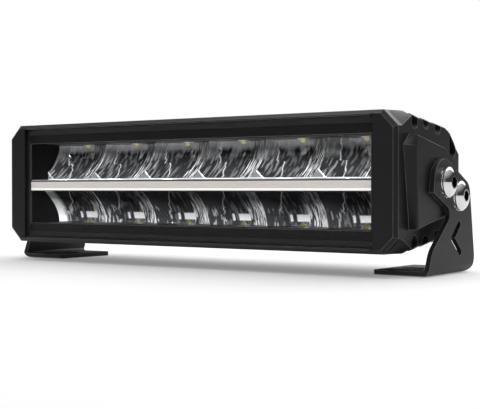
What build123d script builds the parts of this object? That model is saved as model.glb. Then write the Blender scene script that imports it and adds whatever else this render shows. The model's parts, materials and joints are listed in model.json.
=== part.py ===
from build123d import *
from math import atan2, degrees, hypot, sqrt
import os

os.makedirs("parts", exist_ok=True)

# LED light bar on two folded brackets. Millimetres, +Z up, X along the bar, front facing -Y.
# Origin: middle of the bolt pattern of the two feet, on the mounting surface.
# Sections are drawn as (depth behind the front face, height above the middle of the bar).

# ---------------------------------------------------------------- overall size
half_height = 40.0  # half of the front face height
half_length = 151.0  # from the middle to the outer face of an end cap bezel
seam_x = 136.0  # cut end of the extrusion
mid_height = 53.0  # middle of the bar above the mounting surface
foot_slot_depth = 47.0  # depth of the foot slots, where Y is 0
lip_bevel = 2.2  # bevel round the front face
corner_cut = 9.0  # 45 degree corners of the front outline
fit_gap = 0.1  # clearance between fixed neighbours

# ---------------------------------------------------------------- body section
flat_depth = 17.5  # length of the level roof behind the front face
slope_end = (73.5, 32.8)  # rear end of the finned slope
shoulder = (80.0, 29.5)
haunch = (86.0, 24.0)
back_corner = (91.0, 17.5)

# ---------------------------------------------------------------- cavities
lens_recess_height = 37.0  # half height of the lens seat
lens_recess_depth = 4.4
cavity_depth = 50.0  # rear wall of the optics cavity
cavity_height = 28.6  # half height of the optics cavity
web_depth = 53.0  # front wall of the driver bay
bay_depth = 64.0  # rear end of the tall part of the driver bay
bay_height = 24.0
tail_depth = 76.0  # rear end of the low part of the driver bay
tail_height = 13.0
wire_hole_radius = 5.0

# ---------------------------------------------------------------- slots and fins
screw_slot_front = (21.8, 33.5)  # centre of the rounded bottom of the front shoulder slot
screw_slot_rear = (71.6, 18.8)
open_slot_front = (36.1, 33.9)
open_slot_rear = (51.3, 31.6)
seam_slot_height = 34.9  # the open slots are shallower along the extrusion and over the gasket
seam_slot_x = 138.5  # outer end of the shallow part of the open slots
slot_radius = 3.8  # half width of the shoulder slots
rear_slot_radius = 4.3
slot_top = 60.0  # any height above the body
slot_floor_x = 140.5  # face that the end cap screw heads sit on
fin_groove_width = 4.4
fin_grooves = [(61.0, 26.5), (71.6, 25.5)]  # depth and bottom height of the narrow grooves
front_groove = (29.0, 32.5)
front_groove_width = 2.4
back_channel_height = 11.0  # half height of the channel down the back
back_channel_floor = 80.0
back_groove_height = 14.3
back_groove_width = 2.2
back_groove_floor = 85.0

# ---------------------------------------------------------------- end caps
cap_inner_x = seam_x + fit_gap
cap_roof_x = 145.5  # outer end of the full section
bezel_depth = 6.0
plateau_x = 156.7  # face of the boss under the bracket
knee_outline = [(flat_depth, 36.9), (61.0, 31.8), (66.0, 29.5), (72.0, 23.8), (80.4, 16.9)]
boss_base = [(7.5, 20.8), (15.0, 26.9), (29.5, 24.3), (49.3, 20.7), (56.5, 18.0), (67.5, 8.6)]
boss_face = [(12.6, 20.0), (14.8, 26.2), (29.3, 23.4), (49.0, 19.8), (55.8, 17.1), (66.2, 7.9)]
boss_back_base = (72.0, 0.0)
boss_back_face = (70.5, 0.0)
boss_root = 0.5  # overlap of the boss into the wall it stands on
boss_edge = 0.9  # rounding of the edge round the boss face
cap_pocket = (9.0, 30.0)  # depth range of the lightening pocket
cap_pocket_height = 22.0
cap_pocket_x = 146.0
seal_inset = 0.3  # land between the cavities and the gasket groove
seal_width = 1.2
seal_thickness = 1.0

# ---------------------------------------------------------------- fasteners
pivot = (42.0, 0.0)
lock = (58.5, -7.8)
bolt_shank = 3.98
pivot_hole = 4.05
tapped_hole = 4.0
bolt_tip_x = 143.0
tapped_floor_x = 141.5
head_radius = 8.7
head_rim = 0.8
head_height = 3.6
socket_flats_radius = 3.0
socket_depth = 2.3
socket_turn = 15.0
dome_middle = (2.7, 6.5)  # height and radius halfway along the dome
dome_top_radius = 3.8  # flat ring round the socket
washer_radius = 8.8
washer_thickness = 1.1
spring_washer_radius = 6.9
spring_washer_thickness = 1.1
spring_washer_bore = 4.2
spring_washer_split = 1.2
cap_screw_shank = 1.95
cap_screw_hole = 2.0
cap_screw_clearance = 2.2
cap_screw_head = 3.5
cap_screw_head_height = 2.6
cap_screw_length = 18.0
cap_screw_socket = 1.5
cap_screw_socket_depth = 1.4

# ---------------------------------------------------------------- bracket
plate = 3.0
bracket_inner_x = 157.0
bracket_outer_x = bracket_inner_x + plate
foot_inner_x = 124.5
foot_front = 22.0
foot_back = 74.0
upright_back = 83.0
bend_radius = 5.0
lobe_radius = 13.4
rear_lobe = (68.6, -6.8)
rear_lobe_radius = 8.4
rear_toe = (73.4, -43.4)
rear_toe_radius = 9.6
front_toe = (25.0, -50.0)
front_toe_radius = 3.0
neck = [(5.0, 4.3), (53.2, -17.1), (26.0, -39.2), (21.0, -52.0), (5.0, -52.0)]
neck_nose = 5.0
lobe_corner = 3.0
waist_corner = 16.0
foot_corner = 2.0
foot_slot_x = 139.0
foot_slot_radius = 4.4
foot_slot_length = 16.0
swing_slot_half_angle = 13.5
swing_slot_width = 8.6
chevron = [(61.4, -24.4), (52.8, -32.3), (62.8, -40.6)]
chevron_width = 4.2

# ---------------------------------------------------------------- optics
cell_pitch = 44.6
cell_count = 6
reflector_half_length = 134.0
reflector_front_upper = 20.5
reflector_front_lower = 16.0
reflector_back = 49.0
bowl_vertex = 47.0
bowl_front = 15.0  # the cutting paraboloids stop just ahead of both trays
bowl_focal = 8.3
led_height = 27.4  # height of both rows of light sources above and below the middle
reflector_top = 27.1
reflector_lip_upper = 2.6
reflector_lip_lower = -5.3
board_inner = 27.3
board_front = 19.5
board_back = 49.6
board_half_length = 133.8
led_depth = bowl_vertex - bowl_focal
led_base = 5.0
led_base_height = 0.6
led_dome = 2.1
board_screw_depth = 43.7  # between the two open slots of the housing
board_screw_shank = 1.45
board_screw_hole = 1.5
board_screw_head = 2.7
board_screw_head_height = 1.8
board_screw_length = 6.0
board_screw_pocket = 3.4
board_screw_pocket_height = 2.4

# ---------------------------------------------------------------- front parts
lens_front = 0.4
lens_back = 3.4
lens_half_length = 135.8
lens_half_height = 36.8
bezel_front = 3.5
bezel_half_height = 32.8
bezel_half_length = 134.4
window_half_height = 27.2
window_half_length = 133.4
side_wall_outer_x = 136.0
side_wall_inner_x = 134.2
side_wall_depth = 49.5
bezel_inside = 28.4  # half height of the end walls
gasket_half_height = 36.5
gasket_hole_height = 33.1
gasket_hole_length = 134.7

# ---------------------------------------------------------------- centre strip
guide_half_length = 133.3
guide_front = 3.6
guide_back = 10.5
guide_top = 1.7
guide_bottom = -4.7
guide_step = 1.3  # height of the thinner lower edge
guide_step_back = 8.5
carrier_top = 2.4
carrier_bottom = -5.2
carrier_front = 4.6
carrier_rear = 16.6
carrier_pocket_floor = 14.2
tongue_top = 2.0
tongue_bottom = -4.4
tongue_rear = 48.0
tongue_bore = 1.2  # wall round the hollow tongue
strip_board_front = 12.5
strip_board_back = 14.1
strip_led_count = 12
strip_led_pitch = 22.0
strip_led_front = 11.3
strip_led_width = 3.0
strip_led_height = 2.4
strip_mid = (guide_top + guide_bottom) / 2

# ---------------------------------------------------------------- driver and rear fittings
driver_front = 57.0
driver_back = 58.6
driver_half_length = 95.0
driver_half_height = 19.0
driver_screw_x = 88.0
driver_screw_height = 14.0
standoff_radius = 3.2
driver_screw_tip = 54.0
capacitor_radius = 4.0
capacitor_length = 9.0
capacitor_places = [(-70.0, 8.0), (-70.0, -6.0), (-58.0, 1.0)]
inductor_size = 14.0
inductor_corner = 2.0
inductor_height = 7.0
inductor_places = [(-30.0, 0.0), (20.0, 0.0)]
switch_width = 9.0
switch_tall = 6.5
switch_height = 2.3
switch_places = [(-8.0, 8.0), (-8.0, -8.0), (42.0, 8.0), (42.0, -8.0)]
terminal_x = 66.0
terminal_width = 12.0
terminal_tall = 9.0
terminal_height = 8.0
gland_x = 92.0
gland_thread = 7.9
gland_wall_hole = 8.0
gland_inner_end = 71.0
gland_flange_end = 84.6
gland_flange_flats = 8.2
gland_collar = 6.9
gland_collar_end = 90.5
gland_bore = 3.8
gland_seat_start = 85.4
seal_radius = 5.2
seal_bore = 3.1
seal_start = 85.5
seal_end = 92.5
nut_outer = 8.4
nut_start = 84.7
nut_end = 95.0
nut_inner = 7.0
nut_cone_start = 92.6
nut_mouth = 6.2
nut_rib = 0.6
nut_rib_count = 18
nut_rib_end = 92.0
vent_x = -92.0
vent_wall_hole = 5.0
vent_thread = 4.9
vent_inner_end = 73.0
vent_cap = 7.2
vent_cap_end = 84.0
vent_cap_edge = 1.0
vent_slot = 1.4
vent_slot_depth = 1.2


# ---------------------------------------------------------------- drawing planes and outlines
def side(x):
    """Section plane across the bar at x: drawn as (depth, height), normal +X."""
    return Plane(origin=(x, -foot_slot_depth, mid_height), x_dir=(0, 1, 0), z_dir=(1, 0, 0))


def face(depth):
    """Plane parallel to the front face: drawn as (along, height), normal towards the front."""
    return Plane(origin=(0, depth - foot_slot_depth, mid_height), x_dir=(1, 0, 0), z_dir=(0, -1, 0))


def level(height):
    """Horizontal plane: drawn as (along, depth), normal up."""
    return Plane(origin=(0, -foot_slot_depth, mid_height + height), x_dir=(1, 0, 0), z_dir=(0, 0, 1))


def both_sides(upper):
    """Closes an outline given for the upper half by adding its mirror image below."""
    return upper + [(depth, -height) for depth, height in reversed(upper)]


def span(start, end, low, high, mode=Mode.ADD):
    """Rectangle between two pairs of limits."""
    with Locations(((start + end) / 2, (low + high) / 2)):
        Rectangle(end - start, high - low, mode=mode)


def upright_slot(centre, radius):
    """Slot open at the top with a rounded bottom, and the same slot mirrored below."""
    for way in (1, -1):
        with Locations((centre[0], way * centre[1])):
            Circle(radius)
        near = way * centre[1]
        far = way * slot_top
        span(centre[0] - radius, centre[0] + radius, min(near, far), max(near, far))


def groove(depth, width, bottom):
    """Square groove down to a height, and the same groove mirrored below."""
    span(depth - width / 2, depth + width / 2, bottom, slot_top)
    span(depth - width / 2, depth + width / 2, -slot_top, -bottom)


def depth_axis(x, height):
    """Line running from front to back."""
    return Axis((x, -foot_slot_depth, mid_height + height), (0, 1, 0))


def cell_x(index):
    """Middle of one optical cell."""
    return (index - (cell_count - 1) / 2) * cell_pitch


roof = [(flat_depth, half_height), slope_end, shoulder, haunch, back_corner]
body_outline = both_sides([(0.0, half_height - lip_bevel), (lip_bevel, half_height)] + roof)
roof_outline = both_sides(roof)
cell_centres = [cell_x(index) for index in range(cell_count)]
cell_edges = [cell_x(index) + cell_pitch / 2 for index in range(cell_count - 1)]

# ---------------------------------------------------------------- housing extrusion
with BuildPart() as housing_extrusion:
    with BuildSketch(side(-seam_x)):
        Polygon(*body_outline, align=None)
        span(0, lens_recess_depth, -lens_recess_height, lens_recess_height, Mode.SUBTRACT)
        span(0, cavity_depth, -cavity_height, cavity_height, Mode.SUBTRACT)
        span(web_depth, bay_depth, -bay_height, bay_height, Mode.SUBTRACT)
        span(web_depth, tail_depth, -tail_height, tail_height, Mode.SUBTRACT)
        span(
            back_channel_floor,
            back_corner[0],
            -back_channel_height,
            back_channel_height,
            Mode.SUBTRACT,
        )
    extrude(amount=2 * seam_x)
    with BuildSketch(side(-seam_x)):
        for slot in (open_slot_front, open_slot_rear):
            upright_slot((slot[0], seam_slot_height), slot_radius)
        groove(front_groove[0], front_groove_width, front_groove[1])
        for groove_depth, groove_bottom in fin_grooves:
            groove(groove_depth, fin_groove_width, groove_bottom)
        for way in (1, -1):
            low = way * back_groove_height - back_groove_width / 2
            span(back_groove_floor, back_corner[0], low, low + back_groove_width)
    extrude(amount=2 * seam_x, mode=Mode.SUBTRACT)
    with BuildSketch(face(web_depth)):
        with GridLocations(2 * driver_screw_x, 2 * driver_screw_height, 2, 2):
            Circle(standoff_radius)
    extrude(amount=-(driver_front - web_depth))
    with BuildSketch(face(driver_front)):
        with GridLocations(2 * driver_screw_x, 2 * driver_screw_height, 2, 2):
            Circle(board_screw_hole)
    extrude(amount=driver_front - driver_screw_tip, mode=Mode.SUBTRACT)
    with BuildSketch(face(cavity_depth)):
        Circle(wire_hole_radius)
    extrude(amount=-(web_depth - cavity_depth), mode=Mode.SUBTRACT)
    with BuildSketch(face(back_channel_floor)):
        with Locations((gland_x, 0)):
            Circle(gland_wall_hole)
        with Locations((vent_x, 0)):
            Circle(vent_wall_hole)
    extrude(amount=back_channel_floor - tail_depth, mode=Mode.SUBTRACT)
    for end in (-1, 1):
        with BuildSketch(side(end * seam_x)):
            for depth, height in (screw_slot_front, screw_slot_rear):
                with Locations((depth, height), (depth, -height)):
                    Circle(cap_screw_hole)
        extrude(amount=-end * cap_screw_length, mode=Mode.SUBTRACT)
    for way in (-1, 1):
        with BuildSketch(level(way * cavity_height)):
            with Locations(*[(x, board_screw_depth) for x in cell_edges]):
                Circle(board_screw_hole)
        extrude(amount=way * board_screw_length, mode=Mode.SUBTRACT)
housing_extrusion.part.label = "housing_extrusion"
export_step(housing_extrusion.part, "parts/housing_extrusion.step")

# ---------------------------------------------------------------- end caps
front_outline = [
    (cap_inner_x, half_height),
    (half_length - corner_cut, half_height),
    (half_length, half_height - corner_cut),
    (half_length, corner_cut - half_height),
    (half_length - corner_cut, -half_height),
    (cap_inner_x, -half_height),
]
bevel_corner = lip_bevel * (2 - sqrt(2))
bevel_x = half_length - corner_cut - lip_bevel + bevel_corner
bevel_height = half_height - corner_cut - lip_bevel + bevel_corner
bevel_outline = [
    (cap_inner_x, half_height - lip_bevel),
    (bevel_x, half_height - lip_bevel),
    (half_length - lip_bevel, bevel_height),
    (half_length - lip_bevel, -bevel_height),
    (bevel_x, lip_bevel - half_height),
    (cap_inner_x, lip_bevel - half_height),
]
knee_section = [
    (cap_inner_x, half_height),
    (cap_roof_x, half_height),
    (half_length, knee_outline[0][1]),
    (half_length, -knee_outline[0][1]),
    (cap_roof_x, -half_height),
    (cap_inner_x, -half_height),
]
seal_path = both_sides(
    [
        (lens_recess_depth, cavity_height),
        (cavity_depth, cavity_height),
        (cavity_depth, bay_height),
        (bay_depth, bay_height),
        (bay_depth, tail_height),
        (tail_depth, tail_height),
    ]
)

with BuildPart() as end_cap_right:
    with BuildSketch(face(0)):
        Polygon(*bevel_outline, align=None)
    with BuildSketch(face(lip_bevel)):
        Polygon(*front_outline, align=None)
    loft(ruled=True)
    with BuildSketch(face(lip_bevel)):
        Polygon(*front_outline, align=None)
    extrude(amount=lip_bevel - bezel_depth)
    with BuildSketch(face(bezel_depth)):
        Polygon(*front_outline, align=None)
    with BuildSketch(face(flat_depth)):
        Polygon(*knee_section, align=None)
    loft(ruled=True)
    with BuildSketch(side(cap_inner_x)):
        Polygon(*roof_outline, align=None)
    extrude(amount=cap_roof_x - cap_inner_x)
    with BuildSketch(side(cap_roof_x)):
        Polygon(*roof_outline, align=None)
    with BuildSketch(side(half_length)):
        Polygon(*both_sides(knee_outline), align=None)
    loft(ruled=True)
    with BuildSketch(side(half_length - boss_root)):
        Polygon(*both_sides(boss_base + [boss_back_base])[:-1], align=None)
    with BuildSketch(side(plateau_x)):
        Polygon(*both_sides(boss_face + [boss_back_face])[:-1], align=None)
    loft(ruled=True)
    fillet(faces().sort_by(Axis.X)[-1].edges(), radius=boss_edge)
    with BuildSketch(side(slot_floor_x)):
        upright_slot(screw_slot_front, slot_radius)
        upright_slot(screw_slot_rear, rear_slot_radius)
    extrude(amount=plateau_x - slot_floor_x, mode=Mode.SUBTRACT)
    with BuildSketch(side(seam_slot_x)):
        upright_slot(open_slot_front, slot_radius)
        upright_slot(open_slot_rear, slot_radius)
    extrude(amount=plateau_x - seam_slot_x, mode=Mode.SUBTRACT)
    with BuildSketch(side(cap_inner_x)):
        for slot in (open_slot_front, open_slot_rear):
            upright_slot((slot[0], seam_slot_height), slot_radius)
        for depth, height in (screw_slot_front, screw_slot_rear):
            with Locations((depth, height), (depth, -height)):
                Circle(cap_screw_clearance)
    extrude(amount=plateau_x - cap_inner_x, mode=Mode.SUBTRACT)
    with BuildSketch(side(tapped_floor_x)):
        with Locations(pivot, lock):
            Circle(tapped_hole)
    extrude(amount=plateau_x - tapped_floor_x, mode=Mode.SUBTRACT)
    with BuildSketch(side(cap_inner_x)):
        span(*cap_pocket, -cap_pocket_height, cap_pocket_height)
    extrude(amount=cap_pocket_x - cap_inner_x, mode=Mode.SUBTRACT)
    with BuildSketch(side(cap_inner_x)) as seal_groove:
        Polygon(*seal_path, align=None)
        offset(amount=seal_inset + seal_width, kind=Kind.INTERSECTION)
        with BuildSketch(mode=Mode.SUBTRACT):
            Polygon(*seal_path, align=None)
            offset(amount=seal_inset, kind=Kind.INTERSECTION)
    extrude(amount=seal_thickness, mode=Mode.SUBTRACT)
end_cap_right.part.label = "end_cap_right"
export_step(end_cap_right.part, "parts/end_cap_right.step")

with BuildPart() as end_cap_left:
    mirror(end_cap_right.part, about=Plane.YZ)
end_cap_left.part.label = "end_cap_left"
export_step(end_cap_left.part, "parts/end_cap_left.step")

# ---------------------------------------------------------------- end cap gaskets
with BuildPart() as end_cap_gasket_right:
    with BuildSketch(side(cap_inner_x)):
        Polygon(*seal_path, align=None)
        offset(amount=seal_inset + seal_width - fit_gap, kind=Kind.INTERSECTION)
        with BuildSketch(mode=Mode.SUBTRACT):
            Polygon(*seal_path, align=None)
            offset(amount=seal_inset + fit_gap, kind=Kind.INTERSECTION)
    extrude(amount=seal_thickness - fit_gap / 2)
end_cap_gasket_right.part.label = "end_cap_gasket_right"
export_step(end_cap_gasket_right.part, "parts/end_cap_gasket_right.step")

with BuildPart() as end_cap_gasket_left:
    mirror(end_cap_gasket_right.part, about=Plane.YZ)
end_cap_gasket_left.part.label = "end_cap_gasket_left"
export_step(end_cap_gasket_left.part, "parts/end_cap_gasket_left.step")

# ---------------------------------------------------------------- end cap screws
screw_places = [
    (depth, way * height) for depth, height in (screw_slot_front, screw_slot_rear) for way in (1, -1)
]

with BuildPart() as end_cap_screws_right:
    with BuildSketch(side(slot_floor_x)):
        with Locations(*screw_places):
            Circle(cap_screw_head)
    extrude(amount=cap_screw_head_height)
    with BuildSketch(side(slot_floor_x)):
        with Locations(*screw_places):
            Circle(cap_screw_shank)
    extrude(amount=seam_x - cap_screw_length + cap_screw_head_height - slot_floor_x)
    with BuildSketch(side(slot_floor_x + cap_screw_head_height)):
        with Locations(*screw_places):
            RegularPolygon(cap_screw_socket, 6, major_radius=False)
    extrude(amount=-cap_screw_socket_depth, mode=Mode.SUBTRACT)
end_cap_screws_right.part.label = "end_cap_screws_right"
export_step(end_cap_screws_right.part, "parts/end_cap_screws_right.step")

with BuildPart() as end_cap_screws_left:
    mirror(end_cap_screws_right.part, about=Plane.YZ)
end_cap_screws_left.part.label = "end_cap_screws_left"
export_step(end_cap_screws_left.part, "parts/end_cap_screws_left.step")

# ---------------------------------------------------------------- brackets
with BuildPart() as bracket_right:
    with BuildSketch(face(foot_front)):
        with BuildLine():
            Polyline(
                (foot_inner_x, -mid_height),
                (bracket_outer_x, -mid_height),
                (bracket_outer_x, lobe_radius + plate),
                (bracket_inner_x, lobe_radius + plate),
                (bracket_inner_x, plate - mid_height),
                (foot_inner_x, plate - mid_height),
                close=True,
            )
        make_face()
        fillet(vertices().sort_by_distance((bracket_outer_x, -mid_height))[0], bend_radius)
        fillet(
            vertices().sort_by_distance((bracket_inner_x, plate - mid_height))[0],
            bend_radius - plate,
        )
    extrude(amount=foot_front - upright_back)
    with BuildSketch(side(foot_inner_x)) as upright_outline:
        with Locations(pivot):
            Circle(lobe_radius)
        with Locations(rear_lobe):
            Circle(rear_lobe_radius)
        with Locations(rear_toe):
            Circle(rear_toe_radius)
        with Locations(front_toe):
            Circle(front_toe_radius)
        make_hull()
        Polygon(*neck, align=None, mode=Mode.SUBTRACT)
        fillet(vertices().sort_by_distance(neck[1])[0], neck_nose)
        fillet(vertices().sort_by_distance(neck[2])[0], waist_corner)
        fillet(vertices().group_by(Axis.Y)[-1].sort_by(Axis.X)[0], lobe_corner)
    extrude(amount=bracket_outer_x - foot_inner_x, mode=Mode.INTERSECT)
    with BuildSketch(level(-mid_height)):
        span(foot_inner_x, bracket_outer_x - bend_radius, foot_front, foot_back)
        span(bracket_outer_x - bend_radius, bracket_outer_x, foot_front - plate, upright_back)
        fillet(vertices().group_by(Axis.X)[0], foot_corner)
    extrude(amount=mid_height + lobe_radius + plate, mode=Mode.INTERSECT)
    with BuildSketch(side(bracket_inner_x)):
        with Locations(pivot):
            Circle(pivot_hole)
        lock_angle = degrees(atan2(lock[1] - pivot[1], lock[0] - pivot[0]))
        swing_radius = hypot(lock[0] - pivot[0], lock[1] - pivot[1])
        with BuildLine(mode=Mode.PRIVATE) as swing:
            CenterArc(pivot, swing_radius, lock_angle - swing_slot_half_angle, 2 * swing_slot_half_angle)
        SlotArc(swing.edge(), swing_slot_width)
        for start, end in zip(chevron, chevron[1:]):
            with Locations(((start[0] + end[0]) / 2, (start[1] + end[1]) / 2)):
                SlotCenterToCenter(
                    hypot(end[0] - start[0], end[1] - start[1]),
                    chevron_width,
                    rotation=degrees(atan2(end[1] - start[1], end[0] - start[0])),
                )
    extrude(amount=plate, mode=Mode.SUBTRACT)
    with BuildSketch(level(-mid_height)):
        with Locations((foot_slot_x, foot_slot_depth)):
            SlotOverall(foot_slot_length, 2 * foot_slot_radius)
    extrude(amount=plate, mode=Mode.SUBTRACT)
bracket_right.part.label = "bracket_right"
export_step(bracket_right.part, "parts/bracket_right.step")

with BuildPart() as bracket_left:
    mirror(bracket_right.part, about=Plane.YZ)
bracket_left.part.label = "bracket_left"
export_step(bracket_left.part, "parts/bracket_left.step")

# ---------------------------------------------------------------- bolts and washers
washer_x = bracket_outer_x + fit_gap
spring_washer_x = washer_x + washer_thickness
head_x = spring_washer_x + spring_washer_thickness


def button_bolt(centre, start_x):
    """Domed socket-head bolt with its axis along X, head outwards."""
    top_x = start_x + head_height
    section = Plane(
        origin=(0, centre[0] - foot_slot_depth, mid_height + centre[1]),
        x_dir=(1, 0, 0),
        z_dir=(0, -1, 0),
    )
    with BuildSketch(section) as profile:
        with BuildLine():
            Polyline(
                (top_x, 0),
                (bolt_tip_x, 0),
                (bolt_tip_x, bolt_shank),
                (start_x, bolt_shank),
                (start_x, head_radius),
                (start_x + head_rim, head_radius),
            )
            ThreePointArc(
                (start_x + head_rim, head_radius),
                (start_x + dome_middle[0], dome_middle[1]),
                (top_x, dome_top_radius),
            )
            Line((top_x, dome_top_radius), (top_x, 0))
        make_face()
    revolve(profile.sketch, axis=Axis(section.origin, (1, 0, 0)))
    with BuildSketch(side(top_x)) as hexagon:
        with Locations(centre):
            RegularPolygon(socket_flats_radius, 6, major_radius=False, rotation=socket_turn)
    extrude(hexagon.sketch, amount=-socket_depth, mode=Mode.SUBTRACT)


def washer_at(centre, start_x):
    """Flat washer against the bracket."""
    with BuildSketch(side(start_x)) as ring:
        with Locations(centre):
            Circle(washer_radius)
            Circle(pivot_hole, mode=Mode.SUBTRACT)
    extrude(ring.sketch, amount=washer_thickness)


def spring_washer_at(centre, start_x):
    """Split spring washer under the bolt head."""
    with BuildSketch(side(start_x)) as ring:
        with Locations(centre):
            Circle(spring_washer_radius)
            Circle(spring_washer_bore, mode=Mode.SUBTRACT)
        with Locations((centre[0], centre[1] - spring_washer_radius)):
            Rectangle(spring_washer_split, spring_washer_radius, mode=Mode.SUBTRACT)
    extrude(ring.sketch, amount=spring_washer_thickness)


with BuildPart() as pivot_bolt_right:
    button_bolt(pivot, head_x)
pivot_bolt_right.part.label = "pivot_bolt_right"
export_step(pivot_bolt_right.part, "parts/pivot_bolt_right.step")

with BuildPart() as pivot_bolt_left:
    mirror(pivot_bolt_right.part, about=Plane.YZ)
pivot_bolt_left.part.label = "pivot_bolt_left"
export_step(pivot_bolt_left.part, "parts/pivot_bolt_left.step")

with BuildPart() as lock_bolt_right:
    button_bolt(lock, head_x)
lock_bolt_right.part.label = "lock_bolt_right"
export_step(lock_bolt_right.part, "parts/lock_bolt_right.step")

with BuildPart() as lock_bolt_left:
    mirror(lock_bolt_right.part, about=Plane.YZ)
lock_bolt_left.part.label = "lock_bolt_left"
export_step(lock_bolt_left.part, "parts/lock_bolt_left.step")

with BuildPart() as pivot_washer_right:
    washer_at(pivot, washer_x)
pivot_washer_right.part.label = "pivot_washer_right"
export_step(pivot_washer_right.part, "parts/pivot_washer_right.step")

with BuildPart() as pivot_washer_left:
    mirror(pivot_washer_right.part, about=Plane.YZ)
pivot_washer_left.part.label = "pivot_washer_left"
export_step(pivot_washer_left.part, "parts/pivot_washer_left.step")

with BuildPart() as lock_washer_right:
    washer_at(lock, washer_x)
lock_washer_right.part.label = "lock_washer_right"
export_step(lock_washer_right.part, "parts/lock_washer_right.step")

with BuildPart() as lock_washer_left:
    mirror(lock_washer_right.part, about=Plane.YZ)
lock_washer_left.part.label = "lock_washer_left"
export_step(lock_washer_left.part, "parts/lock_washer_left.step")

with BuildPart() as spring_washers_right:
    spring_washer_at(pivot, spring_washer_x)
    spring_washer_at(lock, spring_washer_x)
spring_washers_right.part.label = "spring_washers_right"
export_step(spring_washers_right.part, "parts/spring_washers_right.step")

with BuildPart() as spring_washers_left:
    mirror(spring_washers_right.part, about=Plane.YZ)
spring_washers_left.part.label = "spring_washers_left"
export_step(spring_washers_left.part, "parts/spring_washers_left.step")

# ---------------------------------------------------------------- front lens, bezel and gasket
with BuildPart() as front_lens:
    with BuildSketch(face(lens_front)):
        Rectangle(2 * lens_half_length, 2 * lens_half_height)
    extrude(amount=lens_front - lens_back)
front_lens.part.label = "front_lens"
export_step(front_lens.part, "parts/front_lens.step")

with BuildPart() as lens_gasket:
    with BuildSketch(face(lens_back)):
        Rectangle(2 * lens_half_length, 2 * gasket_half_height)
        Rectangle(2 * gasket_hole_length, 2 * gasket_hole_height, mode=Mode.SUBTRACT)
    extrude(amount=lens_back - lens_recess_depth)
lens_gasket.part.label = "lens_gasket"
export_step(lens_gasket.part, "parts/lens_gasket.step")

with BuildPart() as inner_bezel:
    with BuildSketch(face(bezel_front)):
        Rectangle(2 * bezel_half_length, 2 * bezel_half_height)
        Rectangle(2 * window_half_length, 2 * window_half_height, mode=Mode.SUBTRACT)
    extrude(amount=bezel_front - lens_recess_depth)
    for end in (-1, 1):
        with BuildSketch(side(end * side_wall_inner_x)):
            span(lens_recess_depth, side_wall_depth, -bezel_inside, bezel_inside)
        extrude(amount=end * (side_wall_outer_x - side_wall_inner_x))
inner_bezel.part.label = "inner_bezel"
export_step(inner_bezel.part, "parts/inner_bezel.step")


# ---------------------------------------------------------------- reflectors
def reflector_tray(way, lip, top, front):
    """Tray of half bowls: each bowl is a paraboloid with its focus on a light source."""
    rim = 2 * sqrt(bowl_focal * (bowl_vertex - bowl_front))
    with BuildSketch(side(-reflector_half_length)) as block:
        span(front, reflector_back, min(lip, top), max(lip, top))
    extrude(block.sketch, amount=2 * reflector_half_length)
    for x in cell_centres:
        with BuildSketch(
            Plane(
                origin=(x, -foot_slot_depth, mid_height + way * led_height),
                x_dir=(0, 1, 0),
                z_dir=(way, 0, 0),
            )
        ) as bowl:
            with BuildLine():
                Bezier((bowl_vertex, 0), (bowl_vertex, rim / 2), (bowl_front, rim))
                Line((bowl_front, rim), (bowl_front, 0))
                Line((bowl_front, 0), (bowl_vertex, 0))
            make_face()
        revolve(bowl.sketch, axis=depth_axis(x, way * led_height), mode=Mode.SUBTRACT)
    with BuildSketch(level(top)) as pockets:
        with Locations(*[(x, board_screw_depth) for x in cell_edges]):
            Circle(board_screw_pocket)
    extrude(pockets.sketch, amount=-way * board_screw_pocket_height, mode=Mode.SUBTRACT)


with BuildPart() as reflector_upper:
    reflector_tray(1, reflector_lip_upper, reflector_top, reflector_front_upper)
reflector_upper.part.label = "reflector_upper"
export_step(reflector_upper.part, "parts/reflector_upper.step")

with BuildPart() as reflector_lower:
    reflector_tray(-1, reflector_lip_lower, -reflector_top, reflector_front_lower)
reflector_lower.part.label = "reflector_lower"
export_step(reflector_lower.part, "parts/reflector_lower.step")


# ---------------------------------------------------------------- led boards and chips
def led_board(way):
    """Long board against the roof or the floor of the optics cavity."""
    with BuildSketch(level(way * board_inner)) as layout:
        span(-board_half_length, board_half_length, board_front, board_back)
        with Locations(*[(x, board_screw_depth) for x in cell_edges]):
            Circle(board_screw_hole + fit_gap, mode=Mode.SUBTRACT)
    extrude(layout.sketch, amount=way * (cavity_height - board_inner))


def led_chips(way):
    """Row of light sources: a square base and a dome that faces the bowls."""
    with BuildSketch(level(way * board_inner)) as layout:
        with Locations(*[(x, led_depth) for x in cell_centres]):
            Rectangle(led_base, led_base)
    extrude(layout.sketch, amount=-way * led_base_height)
    base = mid_height + way * (board_inner - led_base_height)
    with Locations(*[(x, led_depth - foot_slot_depth, base) for x in cell_centres]):
        Sphere(led_dome, arc_size1=min(0, -way * 90), arc_size2=max(0, -way * 90), align=None)


def board_screws(way):
    """Screws that hold a board to the housing."""
    with BuildSketch(level(way * board_inner)) as layout:
        with Locations(*[(x, board_screw_depth) for x in cell_edges]):
            Circle(board_screw_head)
    extrude(layout.sketch, amount=-way * board_screw_head_height)
    with BuildSketch(level(way * board_inner)) as layout:
        with Locations(*[(x, board_screw_depth) for x in cell_edges]):
            Circle(board_screw_shank)
    extrude(layout.sketch, amount=way * (board_screw_length + cavity_height - board_inner - fit_gap))


with BuildPart() as led_board_upper:
    led_board(1)
led_board_upper.part.label = "led_board_upper"
export_step(led_board_upper.part, "parts/led_board_upper.step")

with BuildPart() as led_board_lower:
    led_board(-1)
led_board_lower.part.label = "led_board_lower"
export_step(led_board_lower.part, "parts/led_board_lower.step")

with BuildPart() as led_chips_upper:
    led_chips(1)
led_chips_upper.part.label = "led_chips_upper"
export_step(led_chips_upper.part, "parts/led_chips_upper.step")

with BuildPart() as led_chips_lower:
    led_chips(-1)
led_chips_lower.part.label = "led_chips_lower"
export_step(led_chips_lower.part, "parts/led_chips_lower.step")

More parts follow.
